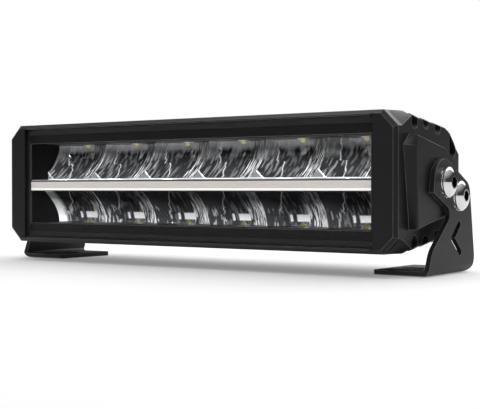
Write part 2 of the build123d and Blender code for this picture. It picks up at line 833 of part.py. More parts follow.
with BuildPart() as board_screws_upper:
    board_screws(1)
board_screws_upper.part.label = "board_screws_upper"
export_step(board_screws_upper.part, "parts/board_screws_upper.step")

with BuildPart() as board_screws_lower:
    board_screws(-1)
board_screws_lower.part.label = "board_screws_lower"
export_step(board_screws_lower.part, "parts/board_screws_lower.step")

# ---------------------------------------------------------------- centre strip
with BuildPart() as strip_light_guide:
    with BuildSketch(side(-guide_half_length)):
        span(guide_front, guide_back, guide_bottom + guide_step, guide_top)
        span(guide_front, guide_step_back, guide_bottom, guide_bottom + guide_step)
    extrude(amount=2 * guide_half_length)
strip_light_guide.part.label = "strip_light_guide"
export_step(strip_light_guide.part, "parts/strip_light_guide.step")

with BuildPart() as strip_carrier:
    with BuildSketch(side(-reflector_half_length)):
        span(carrier_front, carrier_rear, carrier_bottom, carrier_top)
        span(
            carrier_front,
            carrier_pocket_floor,
            guide_bottom - fit_gap,
            guide_top + fit_gap,
            Mode.SUBTRACT,
        )
        span(carrier_rear, tongue_rear, tongue_bottom, tongue_top)
        span(
            carrier_rear,
            tongue_rear,
            tongue_bottom + tongue_bore,
            tongue_top - tongue_bore,
            Mode.SUBTRACT,
        )
    extrude(amount=2 * reflector_half_length)
strip_carrier.part.label = "strip_carrier"
export_step(strip_carrier.part, "parts/strip_carrier.step")

with BuildPart() as strip_board:
    with BuildSketch(side(-guide_half_length)):
        span(strip_board_front, strip_board_back, guide_bottom, guide_top)
    extrude(amount=2 * guide_half_length)
strip_board.part.label = "strip_board"
export_step(strip_board.part, "parts/strip_board.step")

with BuildPart() as strip_leds:
    with BuildSketch(face(strip_board_front)):
        with Locations((0, strip_mid)):
            with GridLocations(strip_led_pitch, 1, strip_led_count, 1):
                Rectangle(strip_led_width, strip_led_height)
    extrude(amount=strip_board_front - strip_led_front)
strip_leds.part.label = "strip_leds"
export_step(strip_leds.part, "parts/strip_leds.step")

# ---------------------------------------------------------------- driver
with BuildPart() as driver_board:
    with BuildSketch(face(driver_front)):
        Rectangle(2 * driver_half_length, 2 * driver_half_height)
        with GridLocations(2 * driver_screw_x, 2 * driver_screw_height, 2, 2):
            Circle(board_screw_hole + fit_gap, mode=Mode.SUBTRACT)
    extrude(amount=driver_front - driver_back)
driver_board.part.label = "driver_board"
export_step(driver_board.part, "parts/driver_board.step")

with BuildPart() as driver_components:
    with BuildSketch(face(driver_back)):
        with Locations(*capacitor_places):
            Circle(capacitor_radius)
    extrude(amount=-capacitor_length)
    with BuildSketch(face(driver_back)):
        with Locations(*inductor_places):
            RectangleRounded(inductor_size, inductor_size, inductor_corner)
    extrude(amount=-inductor_height)
    with BuildSketch(face(driver_back)):
        with Locations(*switch_places):
            Rectangle(switch_width, switch_tall)
    extrude(amount=-switch_height)
    with BuildSketch(face(driver_back)):
        with Locations((terminal_x, 0)):
            Rectangle(terminal_width, terminal_tall)
    extrude(amount=-terminal_height)
driver_components.part.label = "driver_components"
export_step(driver_components.part, "parts/driver_components.step")

with BuildPart() as driver_screws:
    with BuildSketch(face(driver_back)):
        with GridLocations(2 * driver_screw_x, 2 * driver_screw_height, 2, 2):
            Circle(board_screw_head)
    extrude(amount=-board_screw_head_height)
    with BuildSketch(face(driver_back)):
        with GridLocations(2 * driver_screw_x, 2 * driver_screw_height, 2, 2):
            Circle(board_screw_shank)
    extrude(amount=driver_back - driver_screw_tip - fit_gap)
driver_screws.part.label = "driver_screws"
export_step(driver_screws.part, "parts/driver_screws.step")

# ---------------------------------------------------------------- cable gland and vent
with BuildPart() as gland_body:
    with BuildSketch(face(back_channel_floor)):
        with Locations((gland_x, 0)):
            Circle(gland_thread)
    extrude(amount=back_channel_floor - gland_inner_end)
    with BuildSketch(face(back_channel_floor)):
        with Locations((gland_x, 0)):
            RegularPolygon(gland_flange_flats, 6, major_radius=False)
    extrude(amount=back_channel_floor - gland_flange_end)
    with BuildSketch(face(gland_flange_end)):
        with Locations((gland_x, 0)):
            Circle(gland_collar)
    extrude(amount=gland_flange_end - gland_collar_end)
    with BuildSketch(face(gland_collar_end)):
        with Locations((gland_x, 0)):
            Circle(seal_radius + fit_gap)
    extrude(amount=gland_collar_end - gland_seat_start, mode=Mode.SUBTRACT)
    with BuildSketch(face(gland_seat_start)):
        with Locations((gland_x, 0)):
            Circle(gland_bore)
    extrude(amount=gland_seat_start - gland_inner_end, mode=Mode.SUBTRACT)
gland_body.part.label = "gland_body"
export_step(gland_body.part, "parts/gland_body.step")

with BuildPart() as gland_seal:
    with BuildSketch(face(seal_start)):
        with Locations((gland_x, 0)):
            Circle(seal_radius)
            Circle(seal_bore, mode=Mode.SUBTRACT)
    extrude(amount=seal_start - seal_end)
gland_seal.part.label = "gland_seal"
export_step(gland_seal.part, "parts/gland_seal.step")

with BuildPart() as gland_nut:
    with BuildSketch(
        Plane(origin=(gland_x, -foot_slot_depth, mid_height), x_dir=(0, 1, 0), z_dir=(-1, 0, 0))
    ):
        with BuildLine():
            Polyline(
                (nut_start, nut_inner),
                (nut_start, nut_outer),
                (nut_cone_start, nut_outer),
                (nut_end, nut_mouth),
                (nut_end, gland_bore),
                (nut_cone_start, gland_bore),
                (nut_cone_start, nut_inner),
                close=True,
            )
        make_face()
    revolve(axis=depth_axis(gland_x, 0))
    for index in range(nut_rib_count):
        angle = 360 * index / nut_rib_count
        with BuildSketch(face(nut_start)):
            with Locations((gland_x, 0)):
                with PolarLocations(nut_outer, 1, start_angle=angle):
                    Circle(nut_rib)
        extrude(amount=nut_start - nut_rib_end, mode=Mode.SUBTRACT)
gland_nut.part.label = "gland_nut"
export_step(gland_nut.part, "parts/gland_nut.step")

with BuildPart() as vent_plug:
    with BuildSketch(face(back_channel_floor)):
        with Locations((vent_x, 0)):
            Circle(vent_thread)
    extrude(amount=back_channel_floor - vent_inner_end)
    with BuildSketch(face(back_channel_floor)):
        with Locations((vent_x, 0)):
            Circle(vent_cap)
    extrude(amount=back_channel_floor - vent_cap_end)
    chamfer(faces().sort_by(Axis.Y)[-1].edges(), length=vent_cap_edge)
    with BuildSketch(face(vent_cap_end)):
        with Locations((vent_x, 0)):
            Rectangle(2 * vent_cap, vent_slot)
            Rectangle(vent_slot, 2 * vent_cap)
    extrude(amount=vent_slot_depth, mode=Mode.SUBTRACT)
vent_plug.part.label = "vent_plug"
export_step(vent_plug.part, "parts/vent_plug.step")
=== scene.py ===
import bpy
import bmesh
import json
import math
import numpy as np
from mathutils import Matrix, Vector, noise


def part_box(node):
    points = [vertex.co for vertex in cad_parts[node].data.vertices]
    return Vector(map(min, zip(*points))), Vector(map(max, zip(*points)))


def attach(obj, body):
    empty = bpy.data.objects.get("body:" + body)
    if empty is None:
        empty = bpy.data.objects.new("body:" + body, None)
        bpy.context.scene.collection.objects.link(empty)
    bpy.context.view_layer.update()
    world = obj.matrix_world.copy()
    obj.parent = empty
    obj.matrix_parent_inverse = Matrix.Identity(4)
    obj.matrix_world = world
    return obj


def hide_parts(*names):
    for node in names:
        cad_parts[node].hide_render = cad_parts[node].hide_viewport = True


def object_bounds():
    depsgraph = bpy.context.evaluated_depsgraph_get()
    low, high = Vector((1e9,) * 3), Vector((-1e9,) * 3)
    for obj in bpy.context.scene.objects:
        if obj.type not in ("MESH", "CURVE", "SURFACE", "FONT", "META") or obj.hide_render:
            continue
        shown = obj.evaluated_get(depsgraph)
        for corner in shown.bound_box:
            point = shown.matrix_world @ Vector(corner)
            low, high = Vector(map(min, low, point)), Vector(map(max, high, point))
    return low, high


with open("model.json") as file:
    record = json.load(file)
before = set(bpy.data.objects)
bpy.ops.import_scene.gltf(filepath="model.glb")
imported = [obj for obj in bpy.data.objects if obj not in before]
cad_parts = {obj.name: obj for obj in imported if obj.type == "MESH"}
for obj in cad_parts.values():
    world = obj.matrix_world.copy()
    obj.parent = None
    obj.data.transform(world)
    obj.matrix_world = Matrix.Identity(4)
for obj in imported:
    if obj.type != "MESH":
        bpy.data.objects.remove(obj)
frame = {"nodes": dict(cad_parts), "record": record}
cad_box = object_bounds()
NODES = frame["nodes"]
SCENE = bpy.context.scene
SCENE.view_settings.view_transform = "Standard"

# ------------------------------------------------------------------ camera
CAMERA_PLACE = Vector((0.4311, -0.5884, 0.0494))
CAMERA_YAW = math.radians(35.37)
CAMERA_PITCH = math.radians(-0.82)
CAMERA_LENS = 83.37

cam_data = bpy.data.cameras.new("camera")
cam_data.lens = CAMERA_LENS
cam_data.sensor_width = 36.0
cam_data.clip_start = 0.01
camera = bpy.data.objects.new("camera", cam_data)
SCENE.collection.objects.link(camera)
camera.location = CAMERA_PLACE
aim = Vector((
    -math.sin(CAMERA_YAW) * math.cos(CAMERA_PITCH),
    math.cos(CAMERA_YAW) * math.cos(CAMERA_PITCH),
    math.sin(CAMERA_PITCH),
))
camera.rotation_euler = aim.to_track_quat("-Z", "Y").to_euler()
SCENE.camera = camera


# ------------------------------------------------------------------ node helpers
class Mat:
    """A small wrapper that makes node materials readable."""

    def __init__(self, name):
        self.mat = bpy.data.materials.new(name)
        self.mat.use_nodes = True
        self.tree = self.mat.node_tree
        self.tree.nodes.clear()
        self.out = self.tree.nodes.new("ShaderNodeOutputMaterial")
        self.shader = self.tree.nodes.new("ShaderNodeBsdfPrincipled")
        self.tree.links.new(self.shader.outputs[0], self.out.inputs[0])
        self.coord = self.tree.nodes.new("ShaderNodeTexCoord").outputs["Object"]

    def node(self, kind, **settings):
        made = self.tree.nodes.new(kind)
        for key, value in settings.items():
            setattr(made, key, value)
        return made

    def link(self, source, target):
        self.tree.links.new(source, target)

    def set(self, **values):
        for key, value in values.items():
            self.shader.inputs[key.replace("_", " ")].default_value = value

    def noise(self, scale, detail=3.0, rough=0.5, distort=0.0, stretch=None):
        source = self.coord
        if stretch:
            mapping = self.node("ShaderNodeMapping")
            mapping.inputs["Scale"].default_value = stretch
            self.link(source, mapping.inputs["Vector"])
            source = mapping.outputs[0]
        made = self.node("ShaderNodeTexNoise")
        made.inputs["Scale"].default_value = scale
        made.inputs["Detail"].default_value = detail
        made.inputs["Roughness"].default_value = rough
        made.inputs["Distortion"].default_value = distort
        self.link(source, made.inputs["Vector"])
        return made.outputs["Fac"]

    def ramp(self, source, stops):
        made = self.node("ShaderNodeValToRGB")
        line = made.color_ramp
        while len(line.elements) < len(stops):
            line.elements.new(0.5)
        for element, (place, colour) in zip(line.elements, stops):
            element.position = place
            if not isinstance(colour, (tuple, list)):
                colour = (colour, colour, colour)
            element.color = (*colour[:3], 1.0)
        self.link(source, made.inputs[0])
        return made.outputs[0]

    def math(self, how, a, b=0.0, clamp=False):
        made = self.node("ShaderNodeMath", operation=how, use_clamp=clamp)
        for index, value in enumerate((a, b)):
            if isinstance(value, (int, float)):
                made.inputs[index].default_value = value
            else:
                self.link(value, made.inputs[index])
        return made.outputs[0]

    def mix(self, factor, a, b):
        made = self.node("ShaderNodeMix", data_type="RGBA")
        if isinstance(factor, (int, float)):
            made.inputs[0].default_value = factor
        else:
            self.link(factor, made.inputs[0])
        for socket, value in ((made.inputs[6], a), (made.inputs[7], b)):
            if isinstance(value, (tuple, list)):
                socket.default_value = (*value[:3], 1.0)
            else:
                self.link(value, socket)
        return made.outputs[2]

    def bump(self, height, strength, distance):
        made = self.node("ShaderNodeBump")
        made.inputs["Strength"].default_value = strength
        made.inputs["Distance"].default_value = distance
        self.link(height, made.inputs["Height"])
        previous = self.shader.inputs["Normal"]
        if previous.is_linked:
            self.link(previous.links[0].from_socket, made.inputs["Normal"])
        self.link(made.outputs[0], previous)

    def edges(self, radius, low=0.004, high=0.06):
        """White along edges, a band about as wide as the radius."""
        rounded = self.node("ShaderNodeBevel", samples=8)
        rounded.inputs["Radius"].default_value = radius
        geometry = self.node("ShaderNodeNewGeometry")
        turn = self.node("ShaderNodeVectorMath", operation="DOT_PRODUCT")
        self.link(rounded.outputs[0], turn.inputs[0])
        self.link(geometry.outputs["True Normal"], turn.inputs[1])
        return self.ramp(self.math("SUBTRACT", 1.0, turn.outputs["Value"]), [(low, 0.0), (high, 1.0)])

    def colour(self, source):
        self.link(source, self.shader.inputs["Base Color"])

    def rough(self, source):
        self.link(source, self.shader.inputs["Roughness"])


def powder_coat(name, dark, light, roughness, grain, edge=0.0005, gloss=0.30):
    """Black powder coat: fine orange-peel grain, faint dust and a painted highlight along the edges."""
    m = Mat(name)
    fine = m.noise(grain, 2.0, 0.6)
    broad = m.noise(38.0, 4.0, 0.6)
    tone = m.mix(m.ramp(broad, [(0.35, 0.0), (0.7, 1.0)]), dark, light)
    # painted highlight: light grey along the edges, broken into patches, standing in for light caught by the
    # rounded edges
    highlight_patches = m.ramp(m.noise(130.0, 4.0, 0.7), [(0.3, 0.45 * EDGE_HIGHLIGHT), (0.7, EDGE_HIGHLIGHT)])
    edge_highlight = m.math("MULTIPLY", m.edges(edge), highlight_patches)
    split = m.node("ShaderNodeSeparateXYZ")
    m.link(m.coord, split.inputs[0])
    from_seam = m.math("ABSOLUTE", m.math("SUBTRACT", m.math("ABSOLUTE", split.outputs["X"]), SEAM_X))
    edge_highlight = m.math("MULTIPLY", edge_highlight, m.math("GREATER_THAN", from_seam, SEAM_NO_HIGHLIGHT))
    m.colour(m.mix(edge_highlight, tone, (0.42, 0.42, 0.43)))
    m.rough(m.math("ADD", m.math("MULTIPLY", broad, 0.06), roughness - 0.03))
    m.bump(fine, 0.12, 0.00008)
    m.set(Specular_IOR_Level=gloss)
    return m.mat


def bright_metal(name, colour, roughness, scratch=0.06, bolts=()):
    """Polished plated steel with faint turning marks and haze; inside the sockets of the bolts it is rougher
    and painted dark as shade.
    """
    m = Mat(name)
    haze = m.noise(120.0, 4.0, 0.6)
    fine = m.noise(900.0, 2.0, 0.5, stretch=(1.0, 6.0, 6.0))
    shade = m.mix(m.ramp(haze, [(0.3, 0.0), (0.8, 1.0)]), colour, tuple(c * 0.9 for c in colour))
    rough = m.math("ADD", m.math("MULTIPLY", haze, roughness), roughness * 0.4)
    for node in bolts:
        low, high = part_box(node)
        away = m.node("ShaderNodeVectorMath", operation="MULTIPLY_ADD")
        m.link(m.coord, away.inputs[0])
        away.inputs[1].default_value = (0, 1, 1)
        away.inputs[2].default_value = (0, -(low.y + high.y) / 2, -(low.z + high.z) / 2)
        radius = m.node("ShaderNodeVectorMath", operation="LENGTH")
        m.link(away.outputs[0], radius.inputs[0])
        split = m.node("ShaderNodeSeparateXYZ")
        m.link(m.coord, split.inputs[0])
        near = m.math("LESS_THAN", radius.outputs["Value"], SOCKET_REACH)
        deep = m.math("LESS_THAN", m.math("ABSOLUTE", split.outputs["X"]), high.x - SOCKET_EDGE)
        inside = m.math("MULTIPLY", near, deep)
        # painted shade: near black inside each hexagon socket
        shade = m.mix(inside, shade, (0.03, 0.03, 0.032))
        rough = m.math("ADD", rough, m.math("MULTIPLY", inside, 0.4))
    m.colour(shade)
    m.rough(rough)
    m.bump(fine, scratch, 0.00003)
    m.set(Metallic=1.0)
    return m.mat


def moulded(name, dark, light, roughness, bump=0.15, highlight_above=None, edge=None, gloss=0.5):
    """Moulded plastic or rubber with a fine matt grain.

    Above an optional height the plastic is painted white, a highlight standing in for the bright plated lip;
    edge is the width of the painted highlight along the window edges.
    """
    m = Mat(name)
    broad = m.noise(60.0, 3.0, 0.6)
    shade = m.mix(m.ramp(broad, [(0.3, 0.0), (0.75, 1.0)]), dark, light)
    if highlight_above is not None:
        split = m.node("ShaderNodeSeparateXYZ")
        m.link(m.coord, split.inputs[0])
        # painted highlight: white above the height, standing in for the reflection on the plated lip
        in_painted_highlight = m.math("GREATER_THAN", split.outputs["Z"], highlight_above)
        shade = m.mix(in_painted_highlight, shade, (0.85, 0.85, 0.86))
    if edge is not None:
        split = m.node("ShaderNodeSeparateXYZ")
        m.link(m.coord, split.inputs[0])
        off_middle = m.math("ABSOLUTE", m.math("SUBTRACT", split.outputs["Z"], MIDDLE))
        # painted highlight: light grey along the window edges of the bezel
        inside = m.math("MULTIPLY", m.math("LESS_THAN", off_middle, WINDOW_REACH), WINDOW_HIGHLIGHT)
        shade = m.mix(m.math("MULTIPLY", m.edges(edge), inside), shade, (0.45, 0.45, 0.46))
    m.colour(shade)
    m.rough(m.math("ADD", m.math("MULTIPLY", broad, 0.15), roughness - 0.07))
    m.bump(m.noise(MOULD_GRAIN, 2.0, 0.6), bump, 0.0001)
    m.set(Specular_IOR_Level=gloss)
    return m.mat


# ------------------------------------------------------------------ materials
TRAY_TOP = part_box("led_chips_upper")[1].z
TRAY_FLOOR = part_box("led_chips_lower")[0].z
MIDDLE = (TRAY_TOP + TRAY_FLOOR) / 2
SOCKET_REACH = 0.0036  # radius just past the corners of a bolt's hexagon socket
SOCKET_EDGE = 0.00015
CHIP_BASE = 0.00075  # thickness taken as the white base of a chip
SEAM_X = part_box("housing_extrusion")[1].x
SEAM_NO_HIGHLIGHT = 0.002  # no painted edge highlight this close to the joint of the end caps
WINDOW_REACH = 0.0290  # half height of the zone with a painted highlight on the window edges
# strength of the painted highlight on the window edges
WINDOW_HIGHLIGHT = 0.6
MOULD_GRAIN = 1400.0
EDGE_HIGHLIGHT = 0.5  # strongest painted highlight along the edges of the powder coat
HOUSING_BLACK = ((0.010, 0.010, 0.011), (0.012, 0.012, 0.013))
CAP_BLACK = ((0.009, 0.009, 0.010), (0.012, 0.012, 0.013))
BRACKET_BLACK = ((0.011, 0.011, 0.012), (0.015, 0.015, 0.016))
BEZEL_BLACK = ((0.008, 0.008, 0.0085), (0.010, 0.010, 0.0105))
CARRIER_GREY = ((0.04, 0.04, 0.042), (0.06, 0.06, 0.062))
TURNED_BOLTS = ("pivot_bolt_right", "lock_bolt_right")  # the left bolts lie at the same height and depth

black_housing = powder_coat("powder_coat_housing", *HOUSING_BLACK, 0.38, 1500.0, gloss=0.22)
black_cap = powder_coat("powder_coat_cap", *CAP_BLACK, 0.36, 1500.0, gloss=0.22)
black_bracket = powder_coat("powder_coat_bracket", *BRACKET_BLACK, 0.45, 1300.0)
chrome = bright_metal("plated_bolt", (0.66, 0.66, 0.67), 0.10, bolts=TURNED_BOLTS)
washer_metal = bright_metal("plated_washer", (0.78, 0.78, 0.79), 0.10, 0.1)
zinc = bright_metal("zinc_screw", (0.62, 0.63, 0.65), 0.22, 0.15)
screw_black = powder_coat("black_screw", (0.02, 0.02, 0.021), (0.03, 0.03, 0.031), 0.35, 2500.0, 0.0003)
rubber = moulded("gasket_rubber", (0.012, 0.012, 0.012), (0.02, 0.02, 0.02), 0.7)
bezel_black = moulded("bezel_plastic", *BEZEL_BLACK, 0.4, bump=0.03, edge=0.0004, gloss=0.16)
gland_plastic = moulded("gland_nylon", (0.012, 0.012, 0.013), (0.022, 0.022, 0.023), 0.45)
vent_plastic = moulded("vent_nylon", (0.03, 0.03, 0.031), (0.045, 0.045, 0.046), 0.5)
carrier_plastic = moulded("carrier_plastic", *CARRIER_GREY, 0.3, highlight_above=MIDDLE)
board_dark = moulded("board_mask_black", (0.02, 0.02, 0.022), (0.035, 0.035, 0.037), 0.35)
board_white = moulded("board_mask_white", (0.62, 0.63, 0.61), (0.70, 0.71, 0.68), 0.4)
board_green = moulded("board_mask_green", (0.01, 0.06, 0.025), (0.016, 0.09, 0.04), 0.3)
component = moulded("component_epoxy", (0.02, 0.02, 0.022), (0.035, 0.035, 0.037), 0.35)


def chip_material():
    """Yellow phosphor dome on a white square base."""
    m = Mat("led_phosphor")
    low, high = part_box("led_chips_upper")
    base_height = high.z - CHIP_BASE
    split = m.node("ShaderNodeSeparateXYZ")
    m.link(m.coord, split.inputs[0])
    away = m.math("ABSOLUTE", m.math("SUBTRACT", split.outputs["Z"], MIDDLE))
    is_base = m.math("GREATER_THAN", away, base_height - MIDDLE)
    spots = m.noise(700.0, 2.0, 0.6)
    dome = m.mix(m.ramp(spots, [(0.35, 0.0), (0.7, 1.0)]), (0.80, 0.74, 0.25), (0.88, 0.83, 0.40))
    m.colour(m.mix(is_base, dome, (0.88, 0.88, 0.86)))
    m.rough(m.math("ADD", m.math("MULTIPLY", spots, 0.15), 0.15))
    m.bump(spots, 0.1, 0.0001)
    m.set(Coat_Weight=0.6, Coat_Roughness=0.05)
    return m.mat


def guide_material():
    """Warm white diffuser: faint peach patches in front of each small led, a painted glow, a painted
    highlight along the lower edge and a painted shadow line along the top.
    """
    m = Mat("diffuser_warm_white")
    low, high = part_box("strip_light_guide")
    split = m.node("ShaderNodeSeparateXYZ")
    m.link(m.coord, split.inputs[0])
    along = m.math("MULTIPLY", split.outputs["X"], 2 * math.pi / 0.022)
    wave = m.math("COSINE", along)
    patch = m.math("MULTIPLY", m.math("ADD", m.math("MULTIPLY", wave, -0.5), 0.5), m.noise(55.0, 2.0))
    body = m.mix(patch, (0.74, 0.71, 0.68), (0.78, 0.69, 0.63))
    span = high.z - low.z
    height = m.math("DIVIDE", m.math("SUBTRACT", split.outputs["Z"], low.z), span)
    # painted highlight: the lower edge is whiter, and glows more below
    edge = m.ramp(height, [(0.0, 1.0), (0.19, 1.0), (0.22, 0.0), (1.0, 0.0)])
    shade = m.mix(edge, body, (0.95, 0.945, 0.93))
    # painted shadow: near black along the top, where the gap to the reflector lip lies in shade
    gap_shadow_line = m.ramp(height, [(0.89, 0.0), (0.91, 1.0)])
    shade = m.mix(gap_shadow_line, shade, (0.03, 0.03, 0.03))
    m.colour(shade)
    # painted glow: the unlit diffuser sends its own colour out as light
    m.link(shade, m.shader.inputs["Emission Color"])
    m.link(m.math("ADD", m.math("MULTIPLY", edge, 0.30), 0.16), m.shader.inputs["Emission Strength"])
    m.rough(m.math("ADD", m.math("MULTIPLY", m.noise(90.0), 0.1), 0.3))
    m.bump(m.noise(1200.0), 0.05, 0.0001)
    return m.mat


COATED = 0.12  # share of the plain reflection left by the anti-glare coat


def lens_material():
    """Clear coated polycarbonate: passes light straight through, mirrors faintly by Fresnel."""
    m = Mat("clear_lens")
    m.tree.nodes.remove(m.shader)
    clear = m.node("ShaderNodeBsdfTransparent")
    clear.inputs[0].default_value = (0.99, 0.99, 0.99, 1.0)
    gloss = m.node("ShaderNodeBsdfGlossy")
    gloss.inputs["Roughness"].default_value = 0.08
    fresnel = m.node("ShaderNodeFresnel")
    fresnel.inputs["IOR"].default_value = 1.42
    geometry = m.node("ShaderNodeNewGeometry")
    front = m.math("SUBTRACT", 1.0, geometry.outputs["Backfacing"])
    mixed = m.node("ShaderNodeMixShader")
    m.link(m.math("MULTIPLY", m.math("MULTIPLY", fresnel.outputs[0], front), COATED), mixed.inputs[0])
    m.link(clear.outputs[0], mixed.inputs[1])
    m.link(gloss.outputs[0], mixed.inputs[2])
    m.link(mixed.outputs[0], m.out.inputs[0])
    return m.mat


def mirror_material():
    """Vacuum-metallised plastic: the tone attribute is a painted reflection, light and dark patches standing
    in for what each facet mirrors.
    """
    m = Mat("metallised_mirror")
    # painted reflection: the tone attribute lightens the plating where the facets should mirror bright
    # things
    tone = m.node("ShaderNodeAttribute", attribute_name="tone").outputs["Fac"]
    fine = m.noise(900.0, 3.0, 0.6, stretch=(1.0, 0.3, 0.3))
    grainy = m.math("MULTIPLY", tone, m.math("ADD", m.math("MULTIPLY", fine, 0.5), 0.75), clamp=True)
    m.colour(m.mix(grainy, (0.009, 0.010, 0.014), (0.93, 0.94, 0.96)))
    m.rough(m.math("ADD", m.math("MULTIPLY", m.noise(90.0), 0.12), 0.14))
    m.bump(fine, 0.08, 0.0001)
    m.set(Metallic=0.55, Specular_IOR_Level=0.0)
    return m.mat


chip_yellow = chip_material()
guide_white = guide_material()
lens_clear = lens_material()
mirror_metal = mirror_material()

BY_SLOT = {
    "housing_black": black_housing,
    "end_cap_black": black_cap,
    "bracket_black": black_bracket,
    "bolt_bright": chrome,
    "washer_bright": washer_metal,
    "screw_black": screw_black,
    "screw_zinc": zinc,
    "lens_clear": lens_clear,
    "gasket_black": rubber,
    "bezel_black": bezel_black,
    "reflector_metallised": mirror_metal,
    "board_white": board_white,
    "board_dark": board_dark,
    "chip_yellow": chip_yellow,
    "guide_warm_white": guide_white,
    "carrier_grey": carrier_plastic,
    "board_green": board_green,
    "component_dark": component,
    "gland_black": gland_plastic,
    "vent_grey": vent_plastic,
}
for part in frame["record"]["subparts"]:
    cad = NODES[part["node"]]
    cad.data.materials.clear()
    cad.data.materials.append(BY_SLOT[part["material_slot"]])


# ------------------------------------------------------------------ reflectors
CELLS = 6
CELL_PITCH = 0.0446
BOWL_FOCAL = 0.0083
BOWL_INSET = 0.002  # from the bowl's deepest point to the back of the tray
LED_INSET = 0.0003  # from the row of light sources to the near edge of the tray
STEP = 0.0004  # grid of the reflector surface
SHELL = 0.0015  # wall of the moulded tray
RIBS = 0.0030  # start of the ribbed border, from the middle of a cell
FACET = 0.0038


def smooth(low, high, value):
    t = np.clip((value - low) / (high - low), 0.0, 1.0)
    return t * t * (3 - 2 * t)


def grain(u, v, seed):
    """Smooth noise from -1 to 1 over a grid of points."""
    flat = [noise.noise(Vector((a, b, seed))) for a, b in zip(u.ravel(), v.ravel())]
    return np.array(flat).reshape(u.shape)


def reflector(name, node, way):
    """Closed tray of half bowls with a stepped seam, pillow facets and a ribbed border in every cell."""
    low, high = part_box(node)
    xs = np.linspace(low.x, high.x, round((high.x - low.x) / STEP) + 1)
    zs = np.linspace(low.z, high.z, round((high.z - low.z) / STEP) + 1)
    x, z = np.meshgrid(xs, zs)
    led = high.z + LED_INSET if way > 0 else low.z - LED_INSET
    v = np.abs(led - z)
    index = np.clip(np.floor(x / CELL_PITCH + CELLS / 2), 0, CELLS - 1)
    u = x - (index - (CELLS - 1) / 2) * CELL_PITCH
    bowl = high.y - BOWL_INSET - (u * u + v * v) / (4 * BOWL_FOCAL)

    mm = 1000.0
    drop = v / (high.z - low.z)
    wave = grain(v * mm * 0.35, index * 9.1, 3.7 + way) * 0.0010
    wave += grain(v * mm * 0.9, index * 5.3, 8.2 + way) * 0.0005
    if way > 0:
        upper_run = -0.0175 + 0.0050 * drop ** 2
        lower_run = -0.0150 + 0.0064 * drop ** 2
        seam = np.where(drop < 0.58, upper_run, lower_run) + wave
    else:
        seam = np.where(drop < 0.50, -0.0153, -0.0165 + 0.0062 * drop ** 2) + wave
    past_seam = smooth(0.0, 0.0004, u - seam)
    facet = np.clip((u - seam) / FACET, 0.0, None)
    pillow = 1 - (2 * (facet - np.floor(facet)) - 1) ** 2
    middle = past_seam * (1 - smooth(RIBS, RIBS + 0.001, u))
    ribbed = smooth(RIBS, RIBS + 0.002, u)
    streak = grain(u * mm * 1.7, v * mm * 0.17 + index * 3.3, 1.3 + way)
    ripple = grain(u * mm * 0.35, v * mm * 0.35 + index * 7.7, 5.1 + way)
    ribs = np.abs(np.sin(np.pi * u * mm / 1.7))
    relief = 0.00045 * past_seam
    relief += middle * (0.00016 * pillow + 0.00012 * ripple)
    relief += ribbed * (0.00018 * ribs + 0.00016 * streak)
    relief += 0.00005 * streak
    y = np.maximum(bowl - relief, low.y)

    # painted reflections and highlights: the tone below copies what the facets mirror, light bands near the
    # chips, patches, streaks and lines
    tone = np.zeros_like(x)
    flank = 1 - past_seam
    line = np.exp(-(((u - seam - 0.0003) / 0.00021) ** 2))
    teeth = grain(u * mm * 0.55, index * 4.1, 2.2 + way)
    mottled = grain(u * mm * 0.8, v * mm * 0.22 + index * 2.9, 6.6 + way)
    if way > 0:
        tone += flank * (0.02 + 0.55 * (1 - smooth(0.0005, 0.014, v)) + 0.25 * smooth(0.1, 0.4, streak))
        band = 1 - smooth(0.0035 + 0.0016 * teeth, 0.0075 + 0.003 * teeth, v)
        tone += middle * (0.03 + 0.72 * band + 0.12 * smooth(0.0, 0.4, mottled))
        patch = smooth(-0.0125, -0.0115, u) * (1 - smooth(0.0012, 0.0022, u))
        patch *= smooth(0.0052, 0.0062, v) * (1 - smooth(0.0088, 0.0108 + 0.003 * teeth, v))
        tone += patch * (0.25 + 0.6 * smooth(-0.005, -0.003, u)) * smooth(-0.25, 0.15, mottled + 0.5 * teeth)
        low_right = smooth(0.010, 0.015, v) * smooth(-0.002, 0.004, u)
        tone += low_right * 0.8 * smooth(0.20, 0.38, streak + 0.25 * mottled)
        tone += ribbed * (0.04 + 0.25 * (1 - smooth(0.003, 0.014, v)) + 0.8 * smooth(0.12, 0.34, streak))
        tone += line * smooth(0.001, 0.004, v)
    else:
        tone += flank * (0.04 + 0.5 * smooth(0.22, 0.4, streak) * (1 - smooth(0.008, 0.014, v)))
        edge_cell = flank * (1 - smooth(-0.0205, -0.0175, u))
        tone += np.where(index == 0, edge_cell * 0.95, 0.0)
        tone += middle * (0.03 + 0.12 * smooth(0.0, 0.35, mottled))
        # painted reflection: white quads where the chips are mirrored
        quad = (1 - smooth(0.0072, 0.0078, v)) * smooth(0.0030, 0.0036, v)
        wide = smooth(-0.0076, -0.0071, u) * (1 - smooth(0.0004, 0.0010, u))
        thin = smooth(-0.0112, -0.0108, u) * (1 - smooth(-0.0100, -0.0096, u))
        tone += 1.3 * quad * (wide + thin)
        near = 1 - smooth(0.009, 0.019, v)
        tone += ribbed * (0.05 + 0.12 * smooth(0.1, 0.3, mottled) + 1.1 * near * smooth(-0.02, 0.22, streak))
        tone += ribbed * 0.4 * smooth(0.2, 0.4, streak)
        tone += middle * 0.6 * smooth(-0.003, 0.001, u) * near * smooth(0.15, 0.35, streak)
        spur = smooth(-0.0004, 0.0004, u) * (1 - smooth(0.0022, 0.0030, u))
        tone += spur * smooth(0.004, 0.006, v) * (1 - smooth(0.013, 0.016, v)) * smooth(-0.2, 0.1, streak)
        tone += line * smooth(0.007, 0.011, v)
    tone += 0.7 * (1 - smooth(0.0, 0.0004, CELL_PITCH / 2 - u)) * (index < CELLS - 1)
